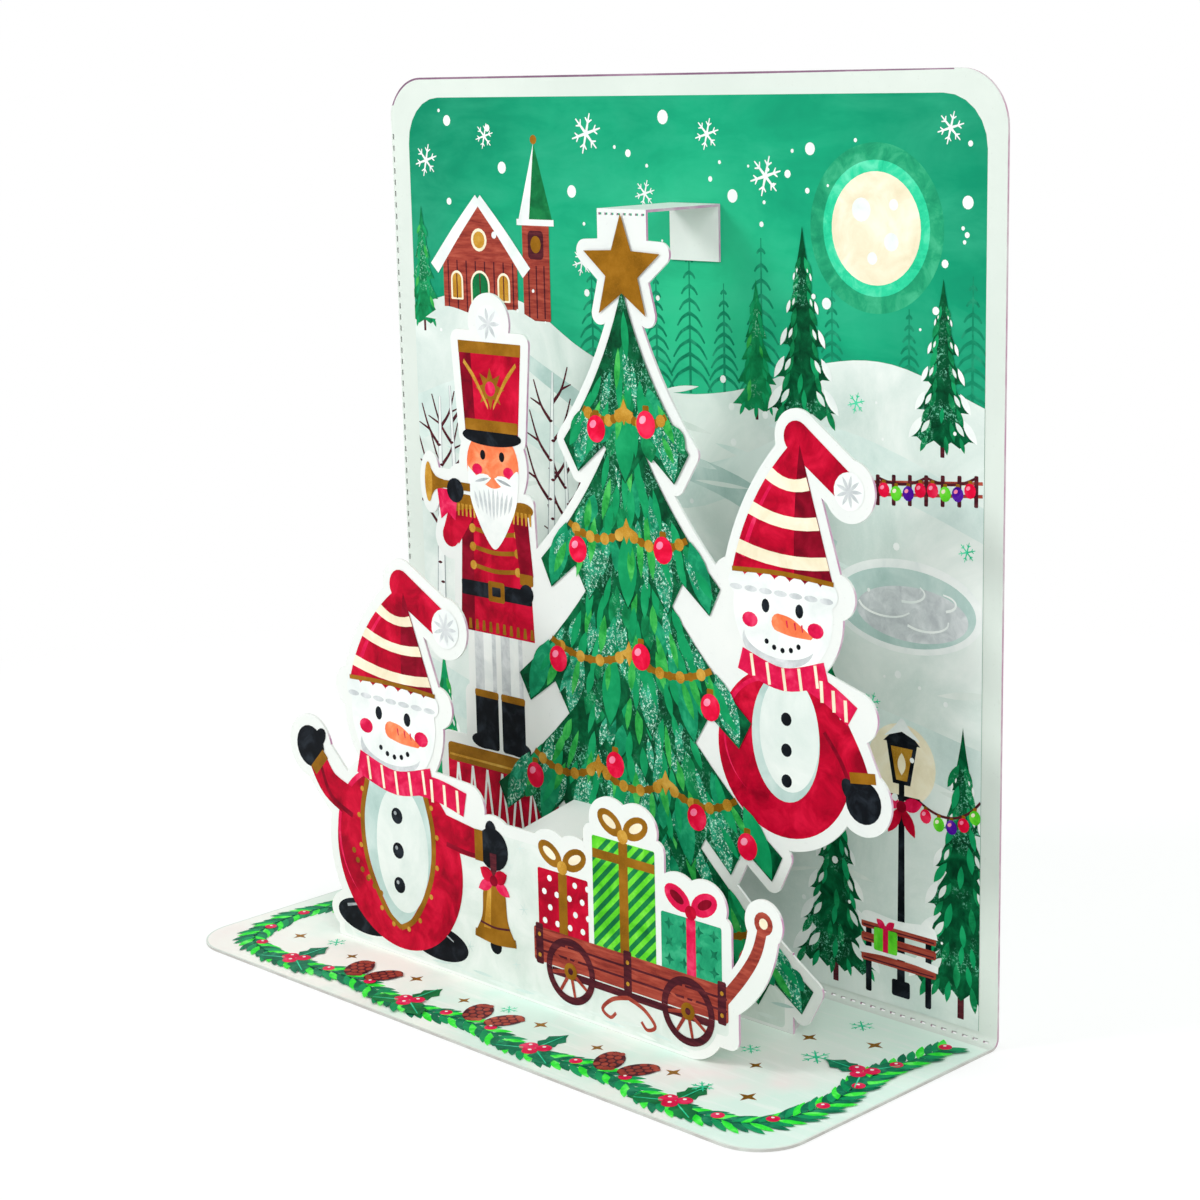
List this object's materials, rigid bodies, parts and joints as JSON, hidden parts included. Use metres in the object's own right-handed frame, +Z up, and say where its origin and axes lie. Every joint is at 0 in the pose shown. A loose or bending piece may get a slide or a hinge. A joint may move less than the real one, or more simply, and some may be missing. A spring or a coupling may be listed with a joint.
{
  "type": "pop up card",
  "caption": "Standing pop-up greeting card: folded base and back panel, with a die-cut tree layer and a die-cut front layer held upright by a strap and a folded band.",
  "frame": {"origin": "centre of the footprint, on the table under the base", "axes": "+Z up, -Y towards the viewer in front of the card, +X to the viewer's right"},
  "size_m": [0.127, 0.0524, 0.139],
  "materials": {
    "shell_board": "smooth coated card, printed",
    "layer_board": "smooth coated card, printed",
    "plain_board": "smooth uncoated card"
  },
  "bodies": {
    "root": {"card_shell": "shell_board", "tree_layer": "layer_board", "front_layer": "layer_board", "spacer_band": "plain_board"}
  },
  "joints": []
}
